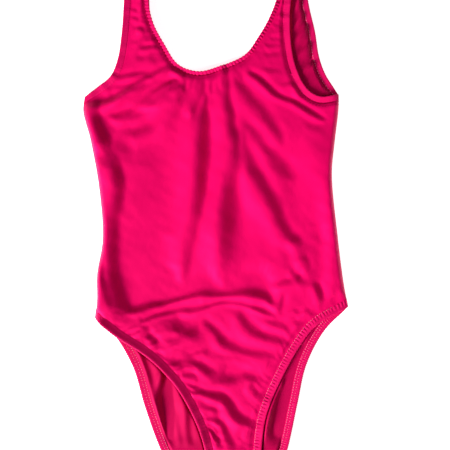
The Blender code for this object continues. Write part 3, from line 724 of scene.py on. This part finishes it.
# Turned edges: length of cloth for one station, lift of the outer rim, pitch and height of the
# ribs that the elastic makes, where across the band these start, and the scallops of the rim
hems = {
    "neckFront": {"step": 0.65, "lift": 1.2, "pitch": 4.2, "rib": 0.42, "ribFrom": 0.10, "scallop": 0.55},
    "armLeftFront": {"step": 0.8, "lift": 0.4, "pitch": 3.1, "rib": 0.12, "ribFrom": 0.40, "scallop": 0.15},
    "armRightFront": {"step": 0.8, "lift": 1.4, "pitch": 3.1, "rib": 0.10, "ribFrom": 0.50, "scallop": 0.15},
    "legLeftFront": {"step": 0.6, "lift": 3.2, "pitch": 3.4, "rib": 0.12, "ribFrom": 0.35, "scallop": 0.60},
    "legRightFront": {"step": 0.6, "lift": 0.8, "pitch": 4.0, "rib": 0.35, "ribFrom": 0.35, "scallop": 0.20},
    "neckBack": {"step": 1.2, "lift": 0.0, "pitch": 2.6, "rib": 0.12, "ribFrom": 0.10, "scallop": 0.20},
    "armLeftBack": {"step": 1.2, "lift": 0.0, "pitch": 3.1, "rib": 0.10, "ribFrom": 0.40, "scallop": 0.15},
    "armRightBack": {"step": 0.8, "lift": 0.5, "pitch": 3.1, "rib": 0.10, "ribFrom": 0.40, "scallop": 0.25},
    "legLeftBack": {"step": 0.6, "lift": 0.3, "pitch": 2.7, "rib": 0.22, "ribFrom": 0.15, "scallop": 0.50},
    "legRightBack": {"step": 0.6, "lift": 0.6, "pitch": 2.7, "rib": 0.22, "ribFrom": 0.15, "scallop": 0.50},
}
# What all turned edges share: the length that smooths their level, the lengths of their waver and
# of their ends, how sharply ribs start, how far scallops reach, and how both waver
hemShape = {"window": 4.0, "wave": 21, "ends": 12.0, "ribStart": 0.15, "scallopReach": 0.3,
            "scallopTurn": 0.6, "phaseChange": 0.5, "ribLevel": 0.8, "ribChange": 0.3}
nodeNames = {"neck": "neck_hem_", "armLeft": "armhole_hem_left_", "armRight": "armhole_hem_right_",
             "legLeft": "leg_hem_left_", "legRight": "leg_hem_right_"}


def makeHem(edge, layer, outline, grid, height, floor, cloth, seed):
    hem, shape = hems[edge + layer], hemShape
    outer, inner = edgeLines(outline, grid, 0.0)
    outer, inner = getattr(outer, edge), getattr(inner, edge)
    along = runningLength(outer)
    count = int(along[-1] / hem["step"])
    wanted = np.linspace(0.0, along[-1], count + 1)
    outer, inner = ([np.interp(wanted, along, line[:, k]) for k in (0, 1)] for line in (outer, inner))
    outer, inner = np.array(outer).T, np.array(inner).T
    level = np.maximum(height(inner), floor)
    window = np.hanning(2 * round(shape["window"] / hem["step"]) + 1)
    level = np.convolve(np.pad(level, len(window) // 2, "edge"), window / window.sum(), "valid")
    uneven = waver(outer, shape["wave"], seed)
    phase = 2 * math.pi * (wanted + shape["phaseChange"] * uneven) / hem["pitch"]
    ends = smooth(np.minimum(wanted, along[-1] - wanted) / shape["ends"])
    section = hemTop + hemUnder  # closed on itself, because the last corner is the first again
    bm, places = gridMesh(count, len(section))
    layerUv = bm.loops.layers.uv.new("cloth")
    for v, (station, corner) in places.items():
        across, up = section[corner % len(section)]
        top = corner % len(section) < len(hemTop)
        lift = hem["lift"] * (1.0 - smooth(across)) * ends[station]
        started = smooth((across - hem["ribFrom"]) / shape["ribStart"])
        rib = started * hem["rib"] * math.cos(phase[station]) * top
        swell = (1.0 + math.cos(phase[station] + shape["scallopTurn"])) / 2
        out = hem["scallop"] * (1.0 - smooth(across / shape["scallopReach"])) * swell
        across -= out / np.linalg.norm(inner[station] - outer[station]) * ends[station]
        xy = outer[station] + across * (inner[station] - outer[station])
        rib *= shape["ribLevel"] + shape["ribChange"] * uneven[station]
        z = level[station] + up * levels["hemThick"] + lift + rib
        v.co = (*(xy * mm), z * mm)
    width = np.linalg.norm(inner[count // 2] - outer[count // 2])
    for face in bm.faces:
        for loop in face.loops:
            station, corner = places[loop.vert]
            loop[layerUv].uv = (section[corner % len(section)][0] * width * mm, wanted[station] * mm)
    bmesh.ops.remove_doubles(bm, verts=bm.verts, dist=1e-7)
    bmesh.ops.holes_fill(bm, edges=[e for e in bm.edges if e.is_boundary])
    bmesh.ops.recalc_face_normals(bm, faces=bm.faces)
    name = edge + layer + "Hem"
    piece = newPiece(name, bm, cloth)
    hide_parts(nodeNames[edge] + layer.lower())
    return piece, (outer, inner, level, wanted, hem)


def makeLayer(layer, outline, grid, height, floor, cloth, edgeCloth):
    panel = makePanel(layer.lower() + "Panel", layer.lower() + "_panel", outline, grid, height, cloth)
    made, bands = [], {}
    for seed, edge in enumerate(Outline._fields):
        piece, bands[edge] = makeHem(edge, layer, outline, grid, height, floor, edgeCloth,
                                     40 + seed)
        made.append(piece)
    print(layer, "edges made")
    return panel, made, bands


frontPanel, frontHems, frontBands = makeLayer(
    "Front", front, frontGrid, frontHeight, levels["frontHem"], "front", "edge")
backPanel, backHems, backBands = makeLayer(
    "Back", back, backGrid, backHeight, levels["hemThick"] / 2, "back", "backEdge")

# Rows of stitches on the bands: how far across the band, the part of its length in mm, spacing,
# the length, width and height of a stitch, and how far it is turned from the edge, in degrees
Stitch = namedtuple("Stitch", "edge across start end spacing length width height turn")
stitchShape = {"jitter": 0.12, "round": 0.15}  # a share of the spacing, and the radius of the corners
frontStitches = [
    Stitch("legRight", 0.93, 20, 290, 3.0, 1.5, 0.5, 0.4, 20),
]
# Short dark dashes beside the right armhole, drawn as boxes of near-black pink
underarmDashes = [
    Stitch("armRight", 1.10, 178, 226, 2.7, 1.5, 0.7, 0.45, 70),
    Stitch("armRight", 1.45, 182, 228, 2.7, 1.5, 0.7, 0.45, 20),
]
backStitches = [
    Stitch("armRight", 0.86, 20, 190, 3.2, 1.5, 0.6, 0.45, 0),
    Stitch("legLeft", 0.86, 25, 250, 3.2, 1.5, 0.6, 0.45, 0),
    Stitch("legLeft", 0.50, 30, 240, 3.6, 1.1, 0.5, 0.40, 30),
    Stitch("legRight", 0.86, 25, 240, 3.2, 1.5, 0.6, 0.45, 0),
    Stitch("legRight", 0.50, 30, 240, 3.6, 1.1, 0.5, 0.40, -30),
]


def makeStitches(name, rows, bands, height, cloth):
    bm = bmesh.new()
    for number, row in enumerate(rows):
        draw = np.random.default_rng(70 + number)
        outer, inner, level, wanted, hem = bands[row.edge]
        steps = np.arange(row.start, row.end, row.spacing)
        steps += draw.uniform(-stitchShape["jitter"], stitchShape["jitter"], len(steps)) * row.spacing
        line = outer + row.across * (inner - outer)
        x, y, z = (np.interp(steps, wanted, values) for values in (line[:, 0], line[:, 1], level))
        up = np.interp(row.across, [place[0] for place in hemTop], [place[1] for place in hemTop])
        z += up * levels["hemThick"] + hem["lift"] * (1.0 - smooth(row.across))
        if row.across > 1.0:
            z = height(np.stack([x, y], axis=1)) + levels["wall"] / 2
        angle = np.arctan2(np.gradient(y), np.gradient(x)) + math.radians(row.turn)
        for px, py, pz, turned in zip(x, y, z, angle):
            size = Matrix.Diagonal((row.length * mm, row.width * mm, row.height * mm, 1.0))
            place = Matrix.Translation((px * mm, py * mm, pz * mm)) @ Matrix.Rotation(turned, 4, "Z")
            bmesh.ops.create_cube(bm, size=1.0, matrix=place @ size)
    piece = newPiece(name, bm, cloth)
    soft = piece.modifiers.new("rounded", "BEVEL")
    soft.width = stitchShape["round"] * mm
    soft.segments = 2
    return piece


frontThread = makeStitches("frontStitches", frontStitches, frontBands, frontHeight, "paleThread")
underarmDashPiece = makeStitches("underarmDashes", underarmDashes, frontBands, frontHeight, "darkDash")
backThread = makeStitches("backStitches", backStitches, backBands, backHeight, "paleThread")
print("stitches made")

frontHems + [frontThread, underarmDashPiece]
backHems + [backThread]

# Floor, light and camera. The camera and its frame are in mm, angles in degrees, the rest in metres.
studio = {
    "camera": (11.6, 6.25, 1200.0),
    "frameWidth": 562.5,
    "sensorWidth": 36.0,
    "keyTurn": 224.0,
    "keyRise": 26.0,
    "keyDistance": 3.0,
    "keySize": 1.2,
    "keyPower": 208.0,
    "sidePlace": (0.45, 0.0, 0.5),
    "sideTarget": (0.15, 0.0, 0.0),
    "sideSize": 0.25,
    "sidePower": 0.9,
    "sky": 0.13,
    "floorColour": (0.96, 0.96, 0.96, 1.0),
    "floorGlow": 0.8,
    "floorDepth": 0.0004,
    "floorHalf": 3.0,
}


def makeFloor():
    bm = bmesh.new()
    bmesh.ops.create_grid(bm, x_segments=1, y_segments=1, size=studio["floorHalf"])
    mesh = bpy.data.meshes.new("floor")
    bm.to_mesh(mesh)
    bm.free()
    material = bpy.data.materials.new("floorPaint")
    material.use_nodes = True
    shader = material.node_tree.nodes["Principled BSDF"]
    shader.inputs["Base Color"].default_value = studio["floorColour"]
    shader.inputs["Roughness"].default_value = 0.9
    shader.inputs["Specular IOR Level"].default_value = 0.0
    shader.inputs["Emission Color"].default_value = (1.0, 1.0, 1.0, 1.0)
    shader.inputs["Emission Strength"].default_value = studio["floorGlow"]
    mesh.materials.append(material)
    for v in mesh.vertices:
        v.co.z = -studio["floorDepth"]
    floor = bpy.data.objects.new("floor", mesh)
    bpy.context.scene.collection.objects.link(floor)


def addAreaLight(name, place, target, size, power):
    data = bpy.data.lights.new(name, "AREA")
    data.shape = "DISK"
    data.size = size
    data.energy = power
    lamp = bpy.data.objects.new(name, data)
    bpy.context.scene.collection.objects.link(lamp)
    lamp.location = place
    lamp.rotation_mode = "QUATERNION"
    lamp.rotation_quaternion = (Vector(target) - Vector(place)).to_track_quat("-Z", "Y")


makeFloor()
turn, rise = math.radians(studio["keyTurn"]), math.radians(studio["keyRise"])
keyPlace = Vector((math.cos(turn) * math.cos(rise), math.sin(turn) * math.cos(rise), math.sin(rise)))
addAreaLight("keyLight", keyPlace * studio["keyDistance"], (0, 0, 0), studio["keySize"], studio["keyPower"])
addAreaLight("sideLight", studio["sidePlace"], studio["sideTarget"], studio["sideSize"], studio["sidePower"])

world = bpy.data.worlds.new("studio")
bpy.context.scene.world = world
world.use_nodes = True
world.node_tree.nodes["Background"].inputs["Strength"].default_value = studio["sky"]
world.node_tree.nodes["Background"].inputs["Color"].default_value = (1.0, 1.0, 1.0, 1.0)

cameraData = bpy.data.cameras.new("camera")
cameraData.sensor_width = studio["sensorWidth"]
cameraData.lens = studio["sensorWidth"] * studio["camera"][2] / studio["frameWidth"]
camera = bpy.data.objects.new("camera", cameraData)
bpy.context.scene.collection.objects.link(camera)
camera.location = Vector(studio["camera"]) * mm
bpy.context.scene.camera = camera
bpy.context.scene.view_settings.view_transform = "Standard"
print("studio made")
